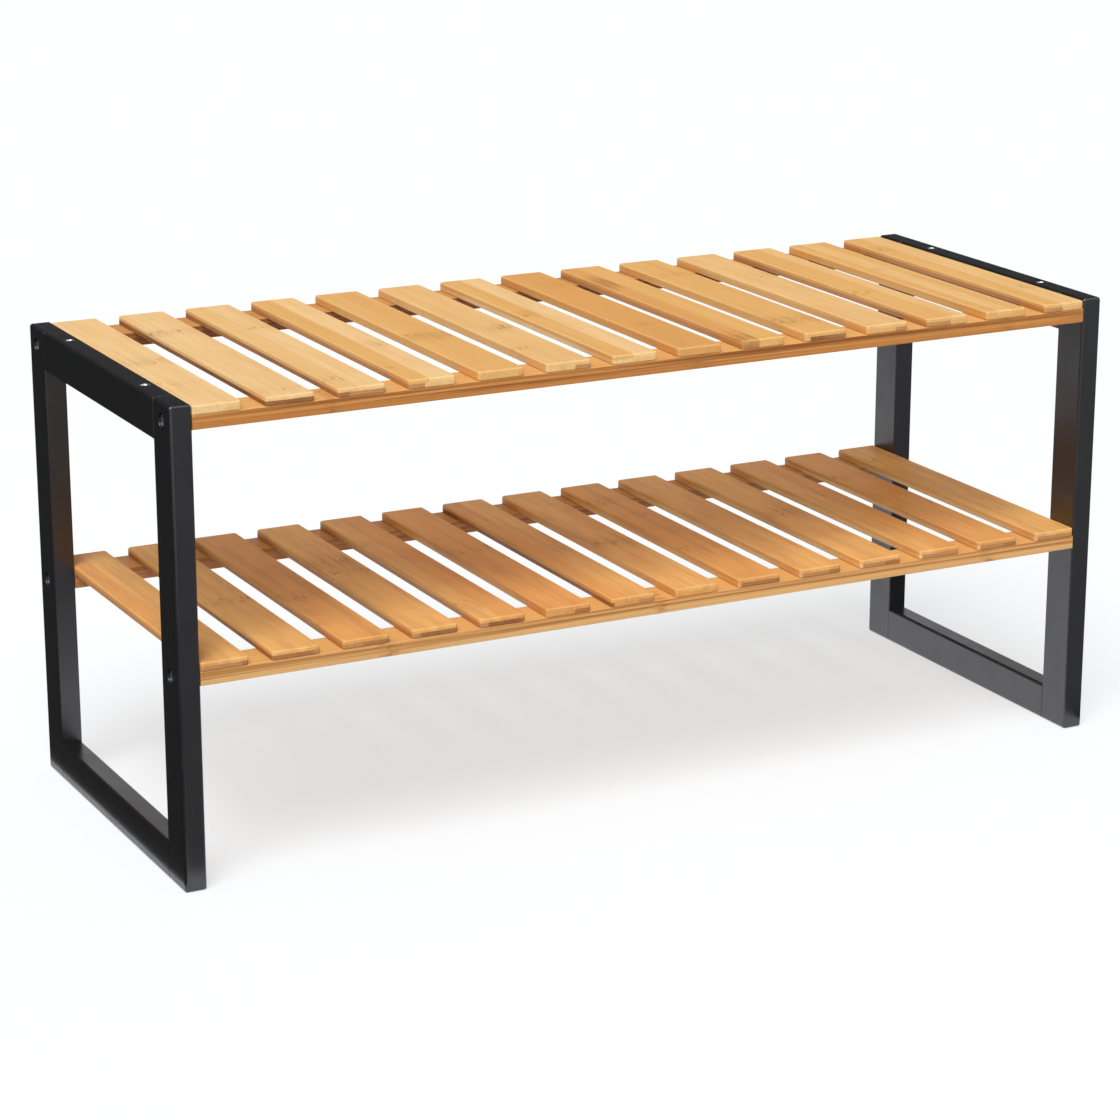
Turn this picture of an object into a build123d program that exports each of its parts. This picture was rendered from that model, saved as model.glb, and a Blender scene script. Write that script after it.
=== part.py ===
"""Two-tier slatted entryway bench: two black side frames carry two bamboo shelves.

X runs along the length, -Y is the front and +Z is up. The origin is the middle of
the footprint on the floor. All sizes are in millimetres.
"""

from build123d import *
import os

os.makedirs("parts", exist_ok=True)

# Overall size
overall_length = 700.0
overall_depth = 266.0
overall_height = 321.0

# Side frames: two posts, with a top and a bottom rail between them
frame_thickness = 15.0
post_width = 29.0
top_rail_height = 27.5
bottom_rail_height = 26.0
frame_edge_radius = 2.0
post_seam_radius = 0.8
rail_end_radius = 0.3

# Glued dowels between rails and posts
dowel_diameter = 6.0
dowel_spacing = 15.0
dowel_depth_in_post = 9.0
dowel_depth_in_rail = 15.0
dowel_end_room = 1.0
dowel_end_chamfer = 0.8

# Shelves: cross slats on a front and a back rail
top_shelf_drop = 1.0
lower_shelf_height = 153.5
slat_width = 33.0
slat_thickness = 6.0
slat_gap = 16.0
slat_corner_radius = 2.0
slat_edge_radius = 1.4
slat_base_chamfer = 0.4
shelf_rail_width = 30.0
shelf_rail_height = 9.5
shelf_rail_edge_radius = 0.8

# Countersunk screws that come up through the shelf rails into the slats
slat_screw_diameter = 3.0
slat_screw_head_diameter = 6.0
slat_screw_head_angle = 90.0
slat_screw_head_height = (slat_screw_head_diameter - slat_screw_diameter) / 2
slat_screw_inset = 8.0
slat_screw_cover = 2.0
slat_screw_cross_length = 3.0
slat_screw_cross_width = 0.7
slat_screw_cross_depth = 0.9

# Pan-head screws that go through the posts into the ends of the shelf rails
shelf_screw_diameter = 4.0
shelf_screw_clearance = 0.3
shelf_screw_bite = 30.0
shelf_screw_head_diameter = 9.0
shelf_screw_head_height = 2.5
shelf_screw_head_radius = 1.0
shelf_screw_recess_diameter = 10.0
shelf_screw_recess_depth = 3.5
shelf_screw_cross_length = 5.0
shelf_screw_cross_width = 1.2
shelf_screw_cross_depth = 1.5

# Steel sleeves in the top rails, which take the pegs of another unit stacked above
sleeve_diameter = 8.0
sleeve_length = 12.0
sleeve_bore = 5.0
sleeve_mouth_chamfer = 0.6
sleeve_drop = 0.3
sleeve_inset = 62.0

# Places that several pieces share
sides = (("left", -1), ("right", 1))
ends = (("front", -1), ("back", 1))
clear_length = overall_length - 2 * frame_thickness
clear_depth = overall_depth - 2 * post_width
frame_mid_x = (overall_length - frame_thickness) / 2
post_mid_y = (overall_depth - post_width) / 2
shelf_rail_mid_y = (overall_depth - shelf_rail_width) / 2
slat_screw_y = overall_depth / 2 - shelf_rail_width + slat_screw_inset
sleeve_spacing = overall_depth - 2 * sleeve_inset
sleeve_mouth_z = overall_height - sleeve_drop

frame_rails = (
    ("top", overall_height - top_rail_height / 2, top_rail_height),
    ("bottom", bottom_rail_height / 2, bottom_rail_height),
)
dowel_heights = [
    mid_z + step * dowel_spacing / 2
    for rail_name, mid_z, rail_height in frame_rails
    for step in (-1, 1)
]

# The shelf levels, each measured at the top of its slats
shelves = (("top", overall_height - top_shelf_drop), ("lower", lower_shelf_height))
shelf_screw_heights = [
    slat_top - slat_thickness - shelf_rail_height / 2 for shelf_name, slat_top in shelves
]

# The slats fill the length between the frames, with gaps as near to slat_gap as they divide
slat_count = round((clear_length + slat_gap) / (slat_width + slat_gap))
slat_pitch = (clear_length - slat_width) / (slat_count - 1)
slat_centres = [
    (slat_width - clear_length) / 2 + index * slat_pitch for index in range(slat_count)
]

# Posts: full-height bars with soft edges, and a finer edge where the rails butt against them
for side_name, side in sides:
    for end_name, end in ends:
        frame_middle = (side * frame_mid_x, 0, overall_height / 2)
        window_plane = Plane(
            (side * frame_mid_x, end * clear_depth / 2, 0), x_dir=(0, 0, 1), z_dir=(0, -end, 0)
        )
        outer_plane = Plane(
            (side * overall_length / 2, end * post_mid_y, 0), x_dir=(0, 0, 1), z_dir=(side, 0, 0)
        )
        with BuildPart() as post:
            with Locations((side * frame_mid_x, end * post_mid_y, overall_height / 2)):
                Box(frame_thickness, post_width, overall_height)
            window_face = post.faces().sort_by_distance(frame_middle)[0]
            fillet(post.edges() - window_face.edges(), frame_edge_radius)
            window_face = post.faces().sort_by_distance(frame_middle)[0]
            fillet(window_face.edges(), post_seam_radius)
            with Locations(window_plane):
                with Locations(*[(height, 0) for height in dowel_heights]):
                    Hole(dowel_diameter / 2, dowel_depth_in_post + dowel_end_room)
            with Locations(outer_plane):
                with Locations(*[(height, 0) for height in shelf_screw_heights]):
                    CounterBoreHole(
                        (shelf_screw_diameter + shelf_screw_clearance) / 2,
                        shelf_screw_recess_diameter / 2,
                        shelf_screw_recess_depth,
                        frame_thickness,
                    )
        post.part.label = f"{side_name}_{end_name}_post"
        export_step(post.part, f"parts/{post.part.label}.step")

# Frame rails: bars between the posts, doweled at both ends
for side_name, side in sides:
    for rail_name, mid_z, rail_height in frame_rails:
        with BuildPart() as frame_rail:
            with Locations((side * frame_mid_x, 0, mid_z)):
                Box(frame_thickness, clear_depth, rail_height)
            fillet(frame_rail.edges().filter_by(Axis.Y), frame_edge_radius)
            fillet(frame_rail.faces().filter_by(Axis.Y).edges(), rail_end_radius)
            for end_name, end in ends:
                end_plane = Plane(
                    (side * frame_mid_x, end * clear_depth / 2, mid_z),
                    x_dir=(0, 0, 1),
                    z_dir=(0, end, 0),
                )
                with Locations(end_plane):
                    with GridLocations(dowel_spacing, 0, 2, 1):
                        Hole(dowel_diameter / 2, dowel_depth_in_rail + dowel_end_room)
            if rail_name == "top":
                with Locations((side * frame_mid_x, 0, overall_height)):
                    with GridLocations(0, sleeve_spacing, 1, 2):
                        Hole(sleeve_diameter / 2, sleeve_drop + sleeve_length)
        frame_rail.part.label = f"{side_name}_{rail_name}_rail"
        export_step(frame_rail.part, f"parts/{frame_rail.part.label}.step")

# Dowels: beech pins across each joint of a frame, two to a joint
dowel_length = dowel_depth_in_post + dowel_depth_in_rail
dowel_mid_y = clear_depth / 2 + (dowel_depth_in_post - dowel_depth_in_rail) / 2
for side_name, side in sides:
    with BuildPart() as dowels:
        with Locations(
            *[
                Location((side * frame_mid_x, end * dowel_mid_y, height), (90, 0, 0))
                for end_name, end in ends
                for height in dowel_heights
            ]
        ):
            Cylinder(dowel_diameter / 2, dowel_length)
        chamfer(dowels.edges().filter_by(GeomType.CIRCLE), dowel_end_chamfer)
    dowels.part.label = f"{side_name}_frame_dowels"
    export_step(dowels.part, f"parts/{dowels.part.label}.step")

# Sleeves: short steel tubes let into the top rails, open at the top
for side_name, side in sides:
    with BuildPart() as sleeves:
        with Locations((side * frame_mid_x, 0, sleeve_mouth_z)):
            with GridLocations(0, sleeve_spacing, 1, 2):
                Cylinder(sleeve_diameter / 2, sleeve_length, align=(Align.CENTER, Align.CENTER, Align.MAX))
                Hole(sleeve_bore / 2)
        mouths = sleeves.faces().filter_by(Axis.Z).group_by(Axis.Z)[-1]
        for mouth in mouths:
            chamfer(mouth.inner_wires()[0].edges(), sleeve_mouth_chamfer)
    sleeves.part.label = f"{side_name}_stacking_sleeves"
    export_step(sleeves.part, f"parts/{sleeves.part.label}.step")

# Shelf rails: flat bars that carry the slats and take the post screws in their ends
for shelf_name, slat_top in shelves:
    rail_top = slat_top - slat_thickness
    rail_base = rail_top - shelf_rail_height
    for end_name, end in ends:
        with BuildPart() as shelf_rail:
            with Locations((0, end * shelf_rail_mid_y, rail_base + shelf_rail_height / 2)):
                Box(clear_length, shelf_rail_width, shelf_rail_height)
            fillet(shelf_rail.edges().filter_by(Axis.X), shelf_rail_edge_radius)
            with Locations(Plane((0, end * slat_screw_y, rail_base), z_dir=(0, 0, -1))):
                with Locations(*[(centre, 0) for centre in slat_centres]):
                    CounterSinkHole(
                        slat_screw_diameter / 2,
                        slat_screw_head_diameter / 2,
                        shelf_rail_height,
                        slat_screw_head_angle,
                    )
            for side_name, side in sides:
                rail_end = (side * clear_length / 2, end * post_mid_y, rail_base + shelf_rail_height / 2)
                with Locations(Plane(rail_end, z_dir=(side, 0, 0))):
                    Hole(shelf_screw_diameter / 2, shelf_screw_bite)
        shelf_rail.part.label = f"{shelf_name}_shelf_{end_name}_rail"
        export_step(shelf_rail.part, f"parts/{shelf_rail.part.label}.step")

# Slats: soft-edged strips across both shelf rails, with blind pilot holes underneath
for shelf_name, slat_top in shelves:
    for index, centre in enumerate(slat_centres):
        with BuildPart() as slat:
            with BuildSketch(Plane.XY.offset(slat_top - slat_thickness)):
                with Locations((centre, 0)):
                    RectangleRounded(slat_width, overall_depth, slat_corner_radius)
            extrude(amount=slat_thickness)
            fillet(slat.faces().sort_by(Axis.Z)[-1].edges(), slat_edge_radius)
            chamfer(slat.faces().sort_by(Axis.Z)[0].edges(), slat_base_chamfer)
            with Locations(Plane((centre, 0, slat_top - slat_thickness), z_dir=(0, 0, -1))):
                with GridLocations(0, 2 * slat_screw_y, 1, 2):
                    Hole(slat_screw_diameter / 2, slat_thickness - slat_screw_cover)
        slat.part.label = f"{shelf_name}_slat_{index + 1:02d}"
        export_step(slat.part, f"parts/{slat.part.label}.step")

# Slat screws: one under each crossing of a slat and a shelf rail, heads flush underneath
slat_screw_length = shelf_rail_height + slat_thickness - slat_screw_cover
for shelf_name, slat_top in shelves:
    rail_base = slat_top - slat_thickness - shelf_rail_height
    upright = (Align.CENTER, Align.CENTER, Align.MIN)
    with BuildPart() as slat_screws:
        with Locations(
            *[(centre, end * slat_screw_y, rail_base) for end_name, end in ends for centre in slat_centres]
        ):
            Cylinder(slat_screw_diameter / 2, slat_screw_length, align=upright)
            Cone(slat_screw_head_diameter / 2, slat_screw_diameter / 2, slat_screw_head_height, align=upright)
            Box(
                slat_screw_cross_length,
                slat_screw_cross_width,
                slat_screw_cross_depth,
                align=upright,
                mode=Mode.SUBTRACT,
            )
            Box(
                slat_screw_cross_width,
                slat_screw_cross_length,
                slat_screw_cross_depth,
                align=upright,
                mode=Mode.SUBTRACT,
            )
    slat_screws.part.label = f"{shelf_name}_shelf_slat_screws"
    export_step(slat_screws.part, f"parts/{slat_screws.part.label}.step")

# Shelf screws: four to a side frame, heads sunk in the posts' outer faces
shelf_screw_length = frame_thickness - shelf_screw_recess_depth + shelf_screw_bite
for side_name, side in sides:
    head_seat_x = side * (overall_length / 2 - shelf_screw_recess_depth)
    with BuildPart() as shelf_screws:
        with Locations(
            *[
                Plane((head_seat_x, end * post_mid_y, height), z_dir=(side, 0, 0))
                for end_name, end in ends
                for height in shelf_screw_heights
            ]
        ):
            Cylinder(
                shelf_screw_diameter / 2,
                shelf_screw_length,
                align=(Align.CENTER, Align.CENTER, Align.MAX),
            )
            Cylinder(
                shelf_screw_head_diameter / 2,
                shelf_screw_head_height,
                align=(Align.CENTER, Align.CENTER, Align.MIN),
            )
        head_tops = shelf_screws.faces().filter_by(Axis.X).group_by(Axis.X)[-1 if side > 0 else 0]
        fillet(head_tops.edges(), shelf_screw_head_radius)
        with Locations(
            *[
                Plane(
                    (head_seat_x + side * shelf_screw_head_height, end * post_mid_y, height),
                    z_dir=(side, 0, 0),
                )
                for end_name, end in ends
                for height in shelf_screw_heights
            ]
        ):
            Box(
                shelf_screw_cross_length,
                shelf_screw_cross_width,
                shelf_screw_cross_depth,
                align=(Align.CENTER, Align.CENTER, Align.MAX),
                mode=Mode.SUBTRACT,
            )
            Box(
                shelf_screw_cross_width,
                shelf_screw_cross_length,
                shelf_screw_cross_depth,
                align=(Align.CENTER, Align.CENTER, Align.MAX),
                mode=Mode.SUBTRACT,
            )
    shelf_screws.part.label = f"{side_name}_shelf_screws"
    export_step(shelf_screws.part, f"parts/{shelf_screws.part.label}.step")
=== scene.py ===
import math
import random

import bpy
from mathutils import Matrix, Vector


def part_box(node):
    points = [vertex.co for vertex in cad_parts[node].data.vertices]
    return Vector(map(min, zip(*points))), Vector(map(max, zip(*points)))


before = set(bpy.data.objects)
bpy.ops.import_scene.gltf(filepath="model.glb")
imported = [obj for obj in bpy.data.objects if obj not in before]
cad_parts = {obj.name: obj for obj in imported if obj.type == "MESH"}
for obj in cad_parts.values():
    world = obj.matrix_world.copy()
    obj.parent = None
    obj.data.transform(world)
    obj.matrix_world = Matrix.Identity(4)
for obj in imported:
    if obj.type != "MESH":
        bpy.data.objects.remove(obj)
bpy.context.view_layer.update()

# Side frames: two posts and two rails a side, planed from solid bars, doweled, glued and sanded soft.
# They are sprayed black with a satin lacquer that leaves a trace of the grain along each bar,
# and the rounded edges are painted a little paler, a painted highlight along them.
SIDES = ("left", "right")
LACQUER_BLACK = (0.0045, 0.0043, 0.0046)
# A paler black for the rounded edges: a painted highlight
LACQUER_EDGE_HIGHLIGHT = (0.0062, 0.0060, 0.0063)
LACQUER_GLINT = (0.90, 0.91, 1.0, 1.0)
LACQUER_IOR = 1.9
LACQUER_ROUGHNESS = (0.28, 0.37)
LACQUER_RELIEF = 0.08
# Grain and rubbed patches, in waves to a metre along X, Y and Z
POST_GRAIN = (900.0, 900.0, 14.0)
FRAME_RAIL_GRAIN = (900.0, 14.0, 900.0)
RUB_PATCHES = (38.0, 38.0, 38.0)
# How far a flat faces along its axis, and how far a rounded edge faces along any axis
FLAT_FACING = 0.995
EDGE_FACING = 0.90
# Most of a noise lies between these two values
NOISE_LOW = 0.3
NOISE_HIGH = 0.7
RELIEF_HEIGHT = 0.0004


def add_node(tree, kind, **settings):
    """Adds a node and sets its properties, or its inputs where the name is a socket's."""
    made = tree.nodes.new(kind)
    for key, value in settings.items():
        if hasattr(made, key):
            setattr(made, key, value)
        else:
            made.inputs[key.replace("_", " ")].default_value = value
    return made


def new_material(name):
    """Starts a material and gives it with its node tree and its Principled shader."""
    material = bpy.data.materials.new(name)
    material.use_nodes = True
    tree = material.node_tree
    return material, tree, tree.nodes["Principled BSDF"]


def grain_noise(tree, per_metre, detail=4.0, roughness=0.55, shift=(0.0, 0.0, 0.0)):
    """Noise in the bench's own coordinates, so many waves to a metre along X, Y and Z."""
    coords = add_node(tree, "ShaderNodeTexCoord")
    mapping = add_node(tree, "ShaderNodeMapping", Scale=per_metre, Location=shift)
    noise = add_node(tree, "ShaderNodeTexNoise", Scale=1.0, Detail=detail, Roughness=roughness)
    tree.links.new(coords.outputs["Object"], mapping.inputs["Vector"])
    tree.links.new(mapping.outputs["Vector"], noise.inputs["Vector"])
    return noise.outputs["Fac"]


def remap(tree, value, low, high, to_low, to_high, soft=False):
    """Maps a value from one range to another and holds it inside the new range."""
    made = add_node(tree, "ShaderNodeMapRange")
    if soft:
        made.interpolation_type = "SMOOTHSTEP"
    for key, number in (("From Min", low), ("From Max", high), ("To Min", to_low), ("To Max", to_high)):
        made.inputs[key].default_value = number
    tree.links.new(value, made.inputs["Value"])
    return made.outputs["Result"]


def spread(tree, noise, at_low, at_high):
    """Maps the middle of a noise, where most of it lies, to a range of its own."""
    return remap(tree, noise, NOISE_LOW, NOISE_HIGH, at_low, at_high)


def mix_color(tree, factor, first, second):
    """Goes from the first colour to the second as the factor rises; each is a value or a socket."""
    made = add_node(tree, "ShaderNodeMix", data_type="RGBA")
    for key, color in (("A", first), ("B", second)):
        socket = next(s for s in made.inputs if s.name == key and s.type == "RGBA")
        if isinstance(color, tuple):
            socket.default_value = (*color, 1.0)
        else:
            tree.links.new(color, socket)
    tree.links.new(factor, made.inputs["Factor"])
    return next(s for s in made.outputs if s.type == "RGBA")


def combine(tree, operation, first, second):
    """Joins two factors, or a factor and a number, by the named operation."""
    made = add_node(tree, "ShaderNodeMath", operation=operation)
    for socket, value in zip(made.inputs, (first, second)):
        if isinstance(value, float):
            socket.default_value = value
        else:
            tree.links.new(value, socket)
    return made.outputs["Value"]


def facing_parts(tree):
    """How far the surface faces along X, along Y and along Z, either way, each from 0 to 1."""
    parts = add_node(tree, "ShaderNodeSeparateXYZ")
    size = add_node(tree, "ShaderNodeVectorMath", operation="ABSOLUTE")
    tree.links.new(add_node(tree, "ShaderNodeNewGeometry").outputs["True Normal"], size.inputs[0])
    tree.links.new(size.outputs["Vector"], parts.inputs["Vector"])
    return parts.outputs["X"], parts.outputs["Y"], parts.outputs["Z"]


def edge_factor(tree):
    """0 on the flats, which face straight along an axis, and 1 on the rounded edges between them."""
    x, y, z = facing_parts(tree)
    most = combine(tree, "MAXIMUM", combine(tree, "MAXIMUM", x, y), z)
    return remap(tree, most, FLAT_FACING, EDGE_FACING, 0.0, 1.0)


def relief(tree, shader, height, strength):
    """Lets a height factor press a fine relief into the shader's surface."""
    bump = add_node(tree, "ShaderNodeBump", Strength=strength, Distance=RELIEF_HEIGHT)
    tree.links.new(height, bump.inputs["Height"])
    tree.links.new(bump.outputs["Normal"], shader.inputs["Normal"])


def lacquer(name, grain_per_metre):
    """Black lacquer over a bar whose grain has so many waves to a metre along X, Y and Z."""
    material, tree, shader = new_material(name)
    grain = grain_noise(tree, grain_per_metre, detail=6.0, roughness=0.6)
    rub = grain_noise(tree, RUB_PATCHES, detail=3.0)
    # The rounded edges get the paler black: a painted highlight along them
    tint = mix_color(tree, edge_factor(tree), LACQUER_BLACK, LACQUER_EDGE_HIGHLIGHT)
    tree.links.new(tint, shader.inputs["Base Color"])
    tree.links.new(spread(tree, rub, *LACQUER_ROUGHNESS), shader.inputs["Roughness"])
    relief(tree, shader, grain, LACQUER_RELIEF)
    shader.inputs["IOR"].default_value = LACQUER_IOR
    shader.inputs["Specular Tint"].default_value = LACQUER_GLINT
    return material


def dress(node, material):
    """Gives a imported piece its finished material."""
    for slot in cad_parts[node].material_slots:
        slot.material = material


post_lacquer = lacquer("black_lacquer_post", POST_GRAIN)
rail_lacquer = lacquer("black_lacquer_rail", FRAME_RAIL_GRAIN)
for side in SIDES:
    for end in ("front", "back"):
        dress(f"{side}_{end}_post", post_lacquer)
    for level in ("top", "bottom"):
        dress(f"{side}_{level}_rail", rail_lacquer)

# Frame dowels: short beech pins, glued into the rails' ends and the posts, hidden once the frame is
# closed. The wood is pale and bare, with a close straight grain along each pin.
BEECH_DARK = (0.42, 0.27, 0.15)
BEECH_LIGHT = (0.62, 0.44, 0.27)
BEECH_GRAIN = (1500.0, 30.0, 1500.0)
BEECH_ROUGHNESS = (0.75, 0.62)
BEECH_RELIEF = 0.2
dowel_beech, tree, shader = new_material("dowel_beech")
beech_grain = grain_noise(tree, BEECH_GRAIN)
tree.links.new(mix_color(tree, beech_grain, BEECH_DARK, BEECH_LIGHT), shader.inputs["Base Color"])
tree.links.new(spread(tree, beech_grain, *BEECH_ROUGHNESS), shader.inputs["Roughness"])
relief(tree, shader, beech_grain, BEECH_RELIEF)
for side in SIDES:
    dress(f"{side}_frame_dowels", dowel_beech)

# Metal fittings: sleeves let into the top rails, pan-head screws sunk in the posts and small
# countersunk screws under the shelves. They are turned steel, bright zinc plated, a little clouded.
ZINC_DULL = (0.58, 0.58, 0.59)
ZINC_BRIGHT = (0.86, 0.86, 0.87)
ZINC_CLOUDS = (420.0, 420.0, 420.0)
ZINC_CLOUD_RANGE = (0.35, 0.65)
ZINC_ROUGHNESS = (0.32, 0.20)
zinc_plate, tree, shader = new_material("zinc_plate")
zinc_cloud = grain_noise(tree, ZINC_CLOUDS, detail=5.0)
zinc_polish = remap(tree, zinc_cloud, *ZINC_CLOUD_RANGE, 0.0, 1.0)
tree.links.new(mix_color(tree, zinc_polish, ZINC_DULL, ZINC_BRIGHT), shader.inputs["Base Color"])
tree.links.new(spread(tree, zinc_cloud, *ZINC_ROUGHNESS), shader.inputs["Roughness"])
shader.inputs["Metallic"].default_value = 1.0
for side in SIDES:
    dress(f"{side}_stacking_sleeves", zinc_plate)
    dress(f"{side}_shelf_screws", zinc_plate)
for shelf in ("top", "lower"):
    dress(f"{shelf}_shelf_slat_screws", zinc_plate)

# Shelf rails: flat bars pressed from thin layers of bamboo and screwed to the posts at both ends.
# The top shows a wide pale layer; the front and back show the layers' edges as orange and brown streaks
# over one paler layer, with a knuckle here and there. The whole shelf is clear varnished.
MILLIMETRES_A_METRE = 1000.0
VARNISH_ROUGHNESS = (0.51, 0.39)
VARNISH_RELIEF = 0.10
VARNISH_GLOSS = 0.26
KNUCKLE_BROWN = (0.37, 0.140, 0.034)
# Fibres, streaks and clouds, in waves to a metre across and along the rail
RAIL_FIBRES = (1400.0, 8.0)
RAIL_STREAKS = (480.0, 3.0)
RAIL_CLOUDS = (70.0, 16.0)
# How far the streaks shade the top and the fibres shade the whole rail, from dark to light
RAIL_STREAK_SHADES = (0.90, 1.05)
RAIL_FIBRE_SHADES = (0.92, 1.05)
# The streaks' own values at which a dark layer turns light, and a dark line in the lowest layer fades out
LAYER_RANGE = (0.41, 0.57)
LOWEST_LINE_RANGE = (0.36, 0.60)
LOWEST_LINE_DEPTH = 0.40
# The lowest layer ends between these shares of the rail's height, and waves up and down by the third
LOWEST_LAYER_ENDS = (0.36, 0.42)
LOWEST_LAYER_WAVE = 0.05
TOP_CLOUD_DEPTH = 0.4
# Flecks in a knuckle, in waves to a metre along X, Y and Z, and the shade of pale and dark ones
RAIL_FLECKS = (150.0, 420.0, 420.0)
RAIL_FLECK_RANGE = (0.40, 0.62)
RAIL_FLECK_SHADES = (0.12, 0.75)
RAIL_KNUCKLE_STRAY = 0.008
# A stray follows the whole of a noise, from its lowest value to its highest
STRAY_RANGE = (0.2, 0.8)
# Where one face of a bar gives way to the next, by how far the surface faces along an axis
FACE_TURNS = (0.6, 0.8)
NOISE_ROOM = 50
RAIL_FIRST_SEED = 40
# For each rail the tones of its top, its dark streaks, its light streaks and its lowest layer, and its
# knuckles, each a distance from the middle of the rail and a reach along it in millimetres
RAILS = {
    "top_shelf_front_rail": (
        (0.80, 0.44, 0.150), (0.29, 0.093, 0.018), (0.66, 0.275, 0.068), (0.60, 0.235, 0.052),
        [(-240, 6), (25, 14), (272, 9)]),
    # The back rails' tones are all darker than the front rails': painted shade for the shade they lie in
    # under the slats
    "top_shelf_back_rail": (
        (0.66, 0.33, 0.105), (0.18, 0.060, 0.018), (0.34, 0.130, 0.038), (0.29, 0.106, 0.031),
        [(-110, 8), (190, 7)]),
    "lower_shelf_front_rail": (
        (0.78, 0.42, 0.140), (0.42, 0.165, 0.042), (0.73, 0.370, 0.122), (0.79, 0.450, 0.168),
        [(-2, 6), (-205, 10), (262, 7)]),
    # Darker tones here too: painted shade for the shade under the lower slats
    "lower_shelf_back_rail": (
        (0.60, 0.28, 0.085), (0.33, 0.128, 0.040), (0.52, 0.225, 0.074), (0.46, 0.195, 0.064),
        [(-150, 7), (80, 9)]),
}


def place_of(tree):
    """The X, Y and Z of the shaded point, in metres in the bench's own frame."""
    place = add_node(tree, "ShaderNodeSeparateXYZ")
    tree.links.new(add_node(tree, "ShaderNodeTexCoord").outputs["Object"], place.inputs["Vector"])
    return place.outputs["X"], place.outputs["Y"], place.outputs["Z"]


def noise_shift(seed):
    """A piece's own place in the noises, so that no two pieces look alike."""
    draw = random.Random(seed)
    return draw.uniform(0, NOISE_ROOM), draw.uniform(0, NOISE_ROOM), draw.uniform(0, NOISE_ROOM)


def times(tree, first, second):
    """One factor dimmed by another."""
    return combine(tree, "MULTIPLY", first, second)


def away_from(tree, value, place):
    """How far a value lies from a place, either way."""
    return combine(tree, "ABSOLUTE", combine(tree, "SUBTRACT", value, place), 0.0)


def strayed(tree, value, noise, stray):
    """A value that a noise pushes up or down by a stray at most."""
    return combine(tree, "ADD", value, remap(tree, noise, *STRAY_RANGE, -stray, stray))


def shaded(tree, color, factor, dark, light):
    """Dims or lifts a colour between two levels as the factor rises."""
    made = add_node(tree, "ShaderNodeVectorMath", operation="SCALE")
    tree.links.new(color, made.inputs[0])
    tree.links.new(spread(tree, factor, dark, light), made.inputs["Scale"])
    return made.outputs["Vector"]


def fibres(tree, along, waves, shift):
    """Noise drawn out along one axis of the bench, as the fibres of the stalk are."""
    waves_across, waves_along = waves
    per_metre = [waves_across] * 3
    per_metre["XYZ".index(along)] = waves_along
    return grain_noise(tree, per_metre, detail=5.0, roughness=0.62, shift=shift)


def on_face(tree, part):
    """1 on the two faces that look along an axis and 0 elsewhere, from that axis's facing part."""
    return remap(tree, part, *FACE_TURNS, 0.0, 1.0)


def varnish(tree, shader, color, height):
    """Finishes bamboo with a clear satin varnish whose sheen follows the fibres."""
    tree.links.new(color, shader.inputs["Base Color"])
    tree.links.new(spread(tree, height, *VARNISH_ROUGHNESS), shader.inputs["Roughness"])
    relief(tree, shader, height, VARNISH_RELIEF)
    shader.inputs["Specular IOR Level"].default_value = VARNISH_GLOSS


def rail_bamboo(rail, top, dark, light, lowest, knuckles, seed):
    """The pressed bamboo of one shelf rail."""
    material, tree, shader = new_material(f"{rail}_bamboo")
    shift = noise_shift(seed)
    low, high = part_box(rail)
    x, y, z = place_of(tree)
    fine = fibres(tree, "X", RAIL_FIBRES, shift)
    streak = fibres(tree, "X", RAIL_STREAKS, shift)
    cloud = fibres(tree, "X", RAIL_CLOUDS, shift)

    # The layers' edges on the sides, with the lowest layer under them, and a wide layer on the top
    height = remap(tree, z, low[2], high[2], 0.0, 1.0)
    waved = combine(tree, "ADD", height, spread(tree, cloud, -LOWEST_LAYER_WAVE, LOWEST_LAYER_WAVE))
    layers = mix_color(tree, remap(tree, streak, *LAYER_RANGE, 0.0, 1.0), dark, light)
    base = mix_color(tree, remap(tree, streak, *LOWEST_LINE_RANGE, LOWEST_LINE_DEPTH, 0.0), lowest, dark)
    edges = mix_color(tree, remap(tree, waved, *LOWEST_LAYER_ENDS, 0.0, 1.0), base, layers)
    clouded_top = mix_color(tree, spread(tree, cloud, 0.0, TOP_CLOUD_DEPTH), top, light)
    flat = shaded(tree, clouded_top, streak, *RAIL_STREAK_SHADES)
    color = mix_color(tree, on_face(tree, facing_parts(tree)[2]), edges, flat)

    # Knuckles: a ragged brown band across the rail, with flecks in it
    flecks = grain_noise(tree, RAIL_FLECKS, detail=3.0, shift=shift)
    fleck_shade = remap(tree, flecks, *RAIL_FLECK_RANGE, *RAIL_FLECK_SHADES)
    moved = strayed(tree, x, streak, RAIL_KNUCKLE_STRAY)
    for distance, reach in knuckles:
        away = away_from(tree, moved, distance / MILLIMETRES_A_METRE)
        band = remap(tree, away, 0.0, reach / MILLIMETRES_A_METRE, 1.0, 0.0, soft=True)
        color = mix_color(tree, times(tree, band, fleck_shade), color, KNUCKLE_BROWN)
    varnish(tree, shader, shaded(tree, color, fine, *RAIL_FIBRE_SHADES), fine)
    return material


for index, (rail, (top, dark, light, lowest, knuckles)) in enumerate(RAILS.items()):
    dress(rail, rail_bamboo(rail, top, dark, light, lowest, knuckles, RAIL_FIRST_SEED + index))

# Slats: fourteen to a shelf, each a face layer of flat bamboo staves pressed onto a thicker core, planed,
# soft edged, clear varnished and screwed from below. Staves differ in tone, the core is often the browner,
# and the stalk's knuckles show as brown flecks across a stave.
PALE = (0.905, 0.600, 0.282)
STRAW = (0.865, 0.535, 0.222)
GOLD = (0.815, 0.455, 0.152)
AMBER = (0.750, 0.370, 0.108)
HONEY = (0.855, 0.458, 0.140)
RUSSET = (0.805, 0.380, 0.104)
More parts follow.
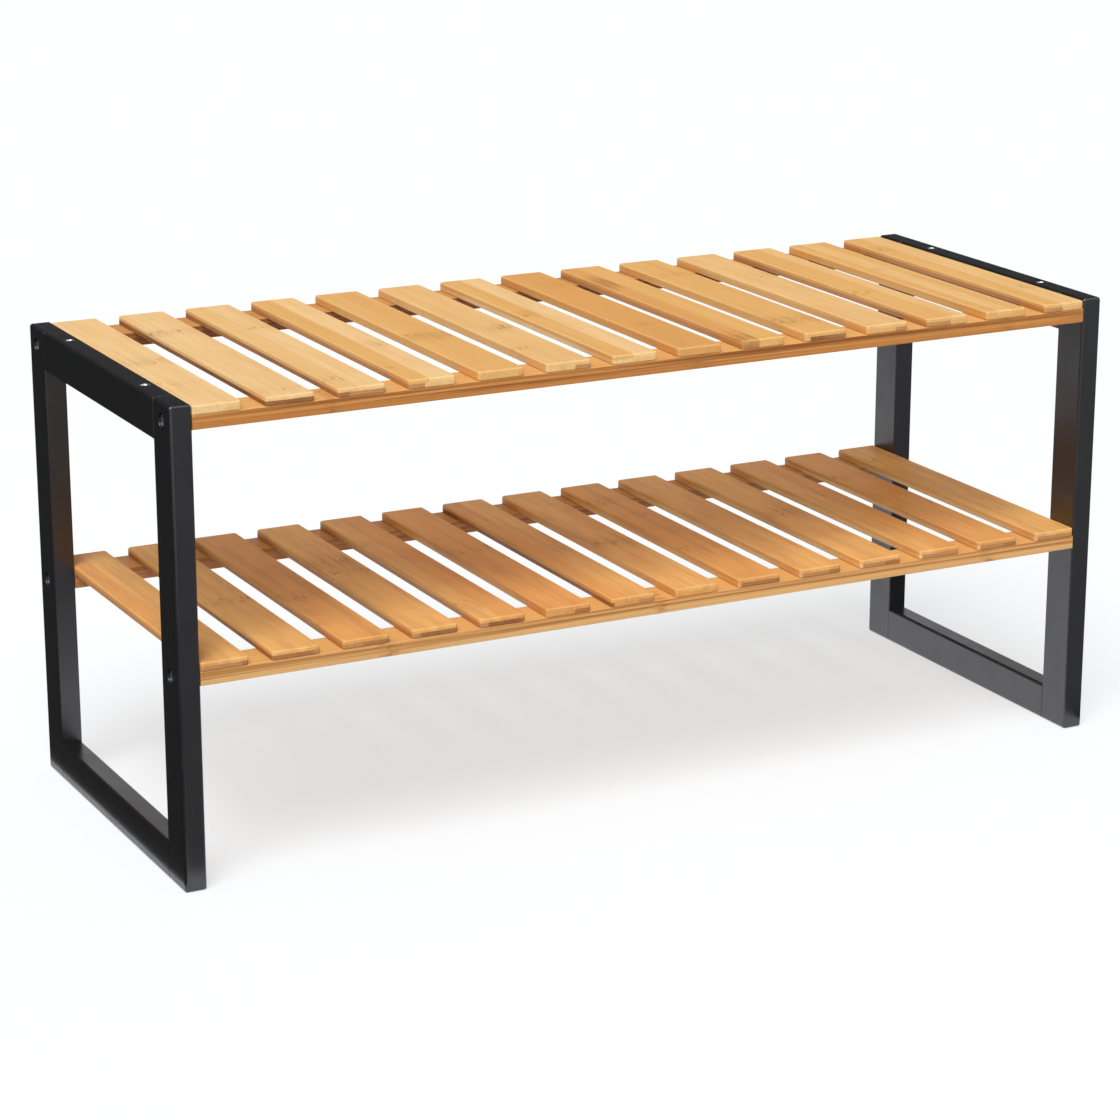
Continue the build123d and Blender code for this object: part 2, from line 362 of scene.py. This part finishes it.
# A redder cloud tone for the lower slats: partly the bamboo's own clouds, partly painted shade under the top
# shelf
CLOUD_AND_SHADE_SIENNA = (0.560, 0.222, 0.062)
TAN = (0.545, 0.252, 0.096)
CHESTNUT = (0.400, 0.160, 0.056)
UMBER = (0.290, 0.106, 0.032)
GRAIN_BROWN = (0.520, 0.225, 0.066)
# Brown of the painted contact shade where each slat's foot meets the rail
FOOT_SHADE_BROWN = (0.180, 0.070, 0.026)
# Fibres, streaks, bands of grain and clouds, in waves to a metre across and along the slat
SLAT_FIBRES = (1400.0, 9.0)
SLAT_STREAKS = (480.0, 5.0)
SLAT_BANDS = (150.0, 7.0)
SLAT_CLOUDS = (75.0, 15.0)
# How far the streaks and the fibres shade a slat, from dark to light
SLAT_STREAK_SHADES = (0.97, 1.03)
SLAT_FIBRE_SHADES = (0.95, 1.04)
# The core ends between these shares of the slat's height, and its edge is ragged by the third
CORE_ENDS = (0.49, 0.56)
CORE_RAGGED = 0.03
# The noises' own values at which clouds, bands and crisp lines of grain show, and how far the crisp
# lines keep to the bands
CLOUD_RANGE = (0.42, 0.72)
BAND_RANGE = (0.46, 0.68)
LINE_RANGE = (0.32, 0.54)
LINE_BAND_RANGE = (0.40, 0.62)
LINE_BAND_SHADES = (0.25, 1.2)
# Knuckles: patches, wander, flecks and ticks, in waves or cells to a metre along X, Y and Z
PATCH_WAVES = (85.0, 30.0, 0.0)
WANDER_WAVES = (120.0, 40.0, 0.0)
FLECK_WAVES = (420.0, 150.0, 0.0)
TICK_CELLS = (230.0, 85.0, 0.0)
PATCH_RANGE = (0.40, 0.56)
PATCH_SHADES = (0.10, 0.80)
KNUCKLE_STRAY = 0.006
# A tick is dark to the first share of its cell, fades out by the second, and is ragged by the third
TICK_FADES = (0.08, 0.36)
TICK_RAGGED = 0.16
TICK_SCATTER = 0.85
# A knuckle's ticks fade between two distances and its smear fades out at a third, each in metres for a
# reach of 1 mm; both deepen with the reach in millimetres, up to a limit
TICK_ROW_FADES = (0.0007, 0.0017)
TICK_ROW_LEAST = 0.2
TICK_ROW_REACH = 9.0
TICK_ROW_MOST = 1.0
SMEAR_FADE = 0.0030
SMEAR_REACH = 6.0
SMEAR_MOST = 4.0
SMEAR_RANGE = (0.36, 0.62)
SMEAR_SHADES = (0.24, 0.04)
# Pores of a cut end, in waves to a metre along X, Y and Z, and how far they shade it
END_PORES = (1300.0, 300.0, 1300.0)
END_PORE_SHADES = (0.90, 1.04)
# The painted highlight along the upper edges lies where the surface starts to face up and stops short of the
# flat top
RIM_STARTS = (0.15, 0.45)
RIM_STOPS = (0.90, 0.99)
RIM_HIGHLIGHT = 0.22
# The painted contact shade along the slat's foot reaches to this share of its height, and not onto the
# underside
FOOT_SHADE_TOP = 0.13
FOOT_SHADE_DARKNESS = 0.70
UNDERSIDE = (-0.95, -0.85)
# Staves of the face and of the core from left to right, each a width in millimetres and a tone, and
# knuckles, each a distance from the front, the number of its stave, and a reach in millimetres
TOP_SLATS = (
    ([(33, PALE)], [(22, PALE), (11, STRAW)], [(126, 0, 6), (60, 0, 3)]),
    ([(33, PALE)], [(33, UMBER)], [(200, 0, 6), (17, 0, 4)]),
    ([(14, STRAW), (19, PALE)], [(8, CHESTNUT), (25, TAN)], [(26, 0, 5), (185, 1, 3)]),
    ([(14, GOLD), (19, PALE)], [(11, TAN), (22, STRAW)], [(106, 1, 6), (38, 0, 3)]),
    ([(33, GOLD)], [(29, GOLD), (4, AMBER)], [(111, 0, 7)]),
    ([(12, STRAW), (21, STRAW)], [(21, STRAW), (12, TAN)], [(111, 1, 7), (50, 0, 4)]),
    ([(15, GOLD), (18, PALE)], [(15, PALE), (18, STRAW)], [(140, 0, 6)]),
    ([(10, AMBER), (23, AMBER)], [(33, AMBER)], [(218, 1, 5), (76, 1, 4)]),
    ([(13, AMBER), (20, GOLD)], [(13, TAN), (15, GOLD), (5, AMBER)], [(208, 0, 12), (8, 0, 10)]),
    ([(33, GOLD)], [(4, GOLD), (16, UMBER), (13, CHESTNUT)], [(43, 0, 8), (212, 0, 4)]),
    ([(17, STRAW), (16, STRAW)], [(23, GOLD), (10, TAN)], [(180, 1, 4)]),
    ([(20, GOLD), (13, STRAW)], [(19, TAN), (14, GOLD)], [(95, 0, 4)]),
    ([(9, GOLD), (12, STRAW), (12, GOLD)], [(33, GOLD)], [(160, 1, 5), (103, 0, 4)]),
    ([(14, GOLD), (19, STRAW)], [(15, TAN), (18, GOLD)], [(220, 0, 6), (58, 1, 4)]),
)
LOWER_SLATS = (
    ([(12, RUSSET), (21, HONEY)], [(28, TAN), (5, CHESTNUT)], [(90, 0, 4)]),
    ([(33, HONEY)], [(29, CHESTNUT), (4, TAN)], [(115, 0, 5)]),
    ([(33, RUSSET)], [(14, TAN), (19, CHESTNUT)], [(103, 0, 7), (40, 0, 3)]),
    ([(33, HONEY)], [(6, TAN), (27, UMBER)], [(163, 0, 8), (140, 0, 6)]),
    ([(14, HONEY), (19, RUSSET)], [(6, TAN), (27, UMBER)], [(33, 0, 8), (195, 0, 5)]),
    ([(33, RUSSET)], [(21, RUSSET), (12, CHESTNUT)], [(150, 0, 4)]),
    ([(12, RUSSET), (21, HONEY)], [(2, UMBER), (19, RUSSET), (12, TAN)], [(123, 1, 6)]),
    ([(33, HONEY)], [(33, RUSSET)], [(121, 0, 8)]),
    ([(33, RUSSET)], [(2, HONEY), (31, CHESTNUT)], [(218, 0, 6), (175, 0, 4), (83, 0, 5)]),
    ([(19, HONEY), (14, HONEY)], [(2, STRAW), (21, TAN), (10, CHESTNUT)], [(60, 1, 4)]),
    ([(33, HONEY)], [(2, STRAW), (18, TAN), (13, CHESTNUT)], [(131, 0, 7)]),
    ([(15, HONEY), (18, RUSSET)], [(2, STRAW), (31, TAN)], [(161, 1, 5)]),
    ([(33, RUSSET)], [(2, STRAW), (20, TAN), (11, CHESTNUT)], [(193, 0, 7), (108, 0, 4)]),
    ([(33, HONEY)], [(2, STRAW), (31, TAN)], [(226, 0, 5), (70, 0, 4)]),
)
# For each shelf its slats, the tone and depth of their clouds, the depth of their grain, and a first seed
SHELVES = {
    "top": (TOP_SLATS, AMBER, 0.34, 0.12, 100),
    # The lower shelf's clouds are redder and deeper: partly the bamboo's cloudy tone, partly painted warm
    # shade under the top shelf
    "lower": (LOWER_SLATS, CLOUD_AND_SHADE_SIENNA, 0.52, 0.22, 200),
}


def stave_ramp(tree, across, staves, width):
    """Colours laid side by side across a slat, one for each stave, with hard joints between."""
    ramp = add_node(tree, "ShaderNodeValToRGB")
    ramp.color_ramp.interpolation = "CONSTANT"
    elements = ramp.color_ramp.elements
    while len(elements) > len(staves):
        elements.remove(elements[-1])
    start = 0.0
    for number, (stave, tone) in enumerate(staves):
        element = elements[number] if number < len(elements) else elements.new(start)
        element.position = start
        element.color = (*tone, 1.0)
        start += stave / width
    tree.links.new(across, ramp.inputs["Fac"])
    return ramp.outputs["Color"]


def facing_up(tree):
    """How far the surface faces up: 1 on the tops, 0 on the sides and -1 underneath."""
    parts = add_node(tree, "ShaderNodeSeparateXYZ")
    tree.links.new(add_node(tree, "ShaderNodeNewGeometry").outputs["True Normal"], parts.inputs["Vector"])
    return parts.outputs["Z"]


def ticks(tree, per_metre, ragged, shift):
    """Short dark ticks, about one to a cell of so many to a metre along X, Y and Z, from 0 to 1."""
    coords = add_node(tree, "ShaderNodeTexCoord")
    mapping = add_node(tree, "ShaderNodeMapping", Scale=per_metre, Location=shift)
    cells = add_node(tree, "ShaderNodeTexVoronoi", voronoi_dimensions="2D", Scale=1.0,
                     Randomness=TICK_SCATTER)
    tree.links.new(coords.outputs["Object"], mapping.inputs["Vector"])
    tree.links.new(mapping.outputs["Vector"], cells.inputs["Vector"])
    away = combine(tree, "ADD", cells.outputs["Distance"], spread(tree, ragged, TICK_RAGGED, -TICK_RAGGED))
    return remap(tree, away, *TICK_FADES, 1.0, 0.0)


def slat_bamboo(slat, face, core, knuckles, cloud_tone, cloud_depth, grain, seed):
    """The pressed bamboo of one slat."""
    material, tree, shader = new_material(f"{slat}_bamboo")
    shift = noise_shift(seed)
    low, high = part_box(slat)
    width = sum(stave for stave, tone in face)
    x, y, z = place_of(tree)
    fine = fibres(tree, "Y", SLAT_FIBRES, shift)
    streak = fibres(tree, "Y", SLAT_STREAKS, shift)
    band = fibres(tree, "Y", SLAT_BANDS, shift)
    cloud = fibres(tree, "Y", SLAT_CLOUDS, shift)
    across = remap(tree, x, low[0], high[0], 0.0, 1.0)
    height = remap(tree, z, low[2], high[2], 0.0, 1.0)

    # The face's staves above, and the core's staves on the lower half of the sides and ends
    waved = combine(tree, "ADD", height, spread(tree, streak, -CORE_RAGGED, CORE_RAGGED))
    color = mix_color(tree, remap(tree, waved, *CORE_ENDS, 0.0, 1.0), stave_ramp(tree, across, core, width),
                      stave_ramp(tree, across, face, width))

    # Warmer clouds, bands and crisp lines of brown grain, and streaks along the fibres
    color = mix_color(tree, remap(tree, cloud, *CLOUD_RANGE, 0.0, cloud_depth), color, cloud_tone)
    color = mix_color(tree, remap(tree, band, *BAND_RANGE, 0.0, grain), color, GRAIN_BROWN)
    lines = times(tree, remap(tree, streak, *LINE_RANGE, grain, 0.0),
                  remap(tree, band, *LINE_BAND_RANGE, *LINE_BAND_SHADES))
    color = mix_color(tree, lines, color, GRAIN_BROWN)
    color = shaded(tree, color, streak, *SLAT_STREAK_SHADES)
    color = shaded(tree, color, fine, *SLAT_FIBRE_SHADES)

    # Knuckles: ragged flecks across one stave, with a faint brown smear along the fibres
    patch = grain_noise(tree, PATCH_WAVES, detail=1.0, shift=shift)
    wander = grain_noise(tree, WANDER_WAVES, detail=2.0, shift=shift)
    flecks = grain_noise(tree, FLECK_WAVES, detail=1.5, shift=shift)
    tick_shade = times(tree, ticks(tree, TICK_CELLS, flecks, shift),
                       remap(tree, patch, *PATCH_RANGE, *PATCH_SHADES))
    smear_shade = remap(tree, streak, *SMEAR_RANGE, *SMEAR_SHADES)
    moved = strayed(tree, y, wander, KNUCKLE_STRAY)
    for distance, stave, reach in knuckles:
        start = sum(wide for wide, tone in face[:stave]) / width
        stop = start + face[stave][0] / width
        inside = times(tree, combine(tree, "GREATER_THAN", across, start),
                       combine(tree, "LESS_THAN", across, stop))
        away = away_from(tree, moved, low[1] + distance / MILLIMETRES_A_METRE)
        row_near, row_far = (reach * fade for fade in TICK_ROW_FADES)
        row_depth = min(TICK_ROW_MOST, TICK_ROW_LEAST + reach / TICK_ROW_REACH)
        row = times(tree, remap(tree, away, row_near, row_far, row_depth, 0.0, soft=True), tick_shade)
        smear_depth = min(SMEAR_MOST, (reach / SMEAR_REACH) ** 2)
        smear = times(tree, remap(tree, away, 0.0, reach * SMEAR_FADE, smear_depth, 0.0, soft=True),
                      smear_shade)
        mark = times(tree, combine(tree, "MAXIMUM", row, smear), inside)
        color = mix_color(tree, mark, color, KNUCKLE_BROWN)

    # Cut ends: close dark pores in place of the long fibres
    pores = grain_noise(tree, END_PORES, detail=3.0, shift=shift)
    ends = shaded(tree, color, pores, *END_PORE_SHADES)
    color = mix_color(tree, on_face(tree, facing_parts(tree)[1]), color, ends)

    # Upper edges painted a little paler as a painted highlight, and a painted contact shade along the foot
    # where the slat meets the rail
    up = facing_up(tree)
    # A painted highlight: the upper edges are mixed towards the pale tone
    painted_rim_highlight = times(tree, remap(tree, up, *RIM_STARTS, 0.0, 1.0), remap(tree, up, *RIM_STOPS, RIM_HIGHLIGHT, 0.0))
    color = mix_color(tree, painted_rim_highlight, color, PALE)
    # Painted contact shade: the foot of the sides and ends is darkened where the slat meets the rail
    painted_foot_shade = times(tree, remap(tree, height, 0.0, FOOT_SHADE_TOP, FOOT_SHADE_DARKNESS, 0.0),
                 remap(tree, up, *UNDERSIDE, 0.0, 1.0))
    varnish(tree, shader, mix_color(tree, painted_foot_shade, color, FOOT_SHADE_BROWN), fine)
    return material


for shelf, (slats, cloud_tone, cloud_depth, grain, first_seed) in SHELVES.items():
    for index, (face, core, knuckles) in enumerate(slats):
        slat = f"{shelf}_slat_{index + 1:02d}"
        bamboo = slat_bamboo(slat, face, core, knuckles, cloud_tone, cloud_depth, grain, first_seed + index)
        dress(slat, bamboo)

# Floor: a wide white paper sheet that the bench stands on. The camera sees it partly lit from within, so
# it runs into the white behind it and the shadow stays pale; reflections see it as plain white.
FLOOR_HALF = 14.0
FLOOR_GLOW = 0.62
FLOOR_WHITE = (0.875, 0.935, 0.985, 1.0)
FLOOR_ROUGHNESS = 0.9


def lying(left, right, front, back, height):
    """The corners of a card that lies flat, in metres."""
    return [(left, front, height), (right, front, height), (right, back, height), (left, back, height)]


def flat_card(name, corners, material):
    """A plain four-sided card of the studio, which isn't part of the bench."""
    mesh = bpy.data.meshes.new(name)
    mesh.from_pydata(corners, [], [(0, 1, 2, 3)])
    mesh.materials.append(material)
    card = bpy.data.objects.new(name, mesh)
    bpy.context.scene.collection.objects.link(card)
    return card


def matt(shader, color, roughness):
    """Makes a shader one plain colour with no gloss."""
    shader.inputs["Base Color"].default_value = color
    shader.inputs["Roughness"].default_value = roughness
    shader.inputs["Specular IOR Level"].default_value = 0.0


def seen_rays(tree):
    """Two factors: 1 for rays from the camera, and 1 for those that a shiny or clear surface sends on."""
    path = add_node(tree, "ShaderNodeLightPath")
    mirrored = combine(tree, "MAXIMUM", path.outputs["Is Glossy Ray"], path.outputs["Is Transmission Ray"])
    return path.outputs["Is Camera Ray"], mirrored


floor_paper, tree, shader = new_material("floor_paper")
matt(shader, FLOOR_WHITE, FLOOR_ROUGHNESS)
glow = add_node(tree, "ShaderNodeEmission", Strength=1.0)
lift = add_node(tree, "ShaderNodeMixShader")
looked_at, mirrored = seen_rays(tree)
share = combine(tree, "MAXIMUM", remap(tree, looked_at, 0.0, 1.0, 0.0, FLOOR_GLOW), mirrored)
tree.links.new(share, lift.inputs["Fac"])
tree.links.new(shader.outputs["BSDF"], lift.inputs[1])
tree.links.new(glow.outputs["Emission"], lift.inputs[2])
tree.links.new(lift.outputs["Shader"], tree.nodes["Material Output"].inputs["Surface"])
flat_card("studio_floor", lying(-FLOOR_HALF, FLOOR_HALF, -FLOOR_HALF, FLOOR_HALF, 0.0), floor_paper)

# Studio flags: felt cards that only reflections see. Dark ones lie beyond each side frame and hang behind
# the bench and behind its left side, and grey ones lie and hang before it, so the lacquer stays black on
# those sides and shows the white floor only low down, behind the middle of the bench.


def hanging(left, right, depth, bottom, top):
    """The corners of a card that hangs upright and faces the front, in metres."""
    return [(left, depth, bottom), (right, depth, bottom), (right, depth, top), (left, depth, top)]


FELT_ROUGHNESS = 1.0
# For each flag its grey and its corners
FLAGS = {
    "left_flag": (0.042, lying(-3.2, -0.352, -0.8, 3.0, 0.004)),
    "left_back_flag": (0.042, hanging(-6.0, -0.42, 1.5, 0.0, 3.2)),
    "high_front_flag": (0.30, hanging(-5.0, 5.0, -3.5, 0.3, 4.0)),
    "right_flag": (0.042, lying(0.352, 3.2, -0.8, 3.0, 0.004)),
    "back_flag": (0.075, hanging(-3.0, 4.0, 0.8, 0.37, 3.2)),
    "front_flag": (0.22, lying(-0.34, 2.5, -2.5, -0.15, 0.006)),
}
for name, (grey, corners) in FLAGS.items():
    felt, tree, shader = new_material(f"{name}_felt")
    matt(shader, (grey, grey, grey, 1.0), FELT_ROUGHNESS)
    flag = flat_card(name, corners, felt)
    flag.visible_camera = False
    flag.visible_diffuse = False
    flag.visible_transmission = False
    flag.visible_shadow = False

# Studio light: a dim white room for fill, a wide soft box overhead, too soft to make a glint, and a
# smaller one high at the front left. Both boxes are far off, so the whole floor is lit alike.
WHITE = (1.0, 1.0, 1.0, 1.0)
ROOM_FILL = 0.09
# For each box its strength, how wide it looks in degrees, where it stands, and whether it makes a glint
SOFT_BOXES = {
    "overhead_box": (1.05, 110.0, (0.0, 0.0, 1.0), False),
    "front_left_box": (2.65, 36.0, (-0.40, -0.50, 1.0), True),
}
world = bpy.data.worlds.new("studio_room")
bpy.context.scene.world = world
world.use_nodes = True
tree = world.node_tree
room = tree.nodes["Background"]
room.inputs["Color"].default_value = WHITE
room.inputs["Strength"].default_value = ROOM_FILL
backdrop = add_node(tree, "ShaderNodeBackground", Color=WHITE, Strength=1.0)
choose = add_node(tree, "ShaderNodeMixShader")
tree.links.new(combine(tree, "MAXIMUM", *seen_rays(tree)), choose.inputs["Fac"])
tree.links.new(room.outputs["Background"], choose.inputs[1])
tree.links.new(backdrop.outputs["Background"], choose.inputs[2])
tree.links.new(choose.outputs["Shader"], tree.nodes["World Output"].inputs["Surface"])

for name, (strength, wide, (right, back, up), glints) in SOFT_BOXES.items():
    lamp = bpy.data.lights.new(name, "SUN")
    lamp.energy = strength
    lamp.angle = math.radians(wide)
    box = bpy.data.objects.new(name, lamp)
    box.rotation_euler = (math.atan2(math.hypot(right, back), up), 0.0, math.atan2(right, -back))
    bpy.context.scene.collection.objects.link(box)
    box.visible_glossy = glints

# Camera: at the front left and above the seat, looking down a little, with a long lens. The lens's focus
# is in pixels of a square picture with the side given here, the sensor's width in millimetres, and the
# angles in degrees.
PICTURE_SIDE = 1120.0
CAMERA_SENSOR = 36.0
CAMERA_FOCUS = 3293.1
CAMERA_PLACE = (-1.0370, -1.9839, 0.8088)
CAMERA_DIP = 16.634
CAMERA_TURN = 27.335
camera = bpy.data.cameras.new("photo_camera")
camera.sensor_width = CAMERA_SENSOR
camera.lens = CAMERA_SENSOR * CAMERA_FOCUS / PICTURE_SIDE
camera_stand = bpy.data.objects.new("photo_camera", camera)
camera_stand.location = CAMERA_PLACE
camera_stand.rotation_euler = (math.radians(90.0 - CAMERA_DIP), 0.0, math.radians(-CAMERA_TURN))
bpy.context.scene.collection.objects.link(camera_stand)
bpy.context.scene.camera = camera_stand
bpy.context.scene.view_settings.view_transform = "Standard"
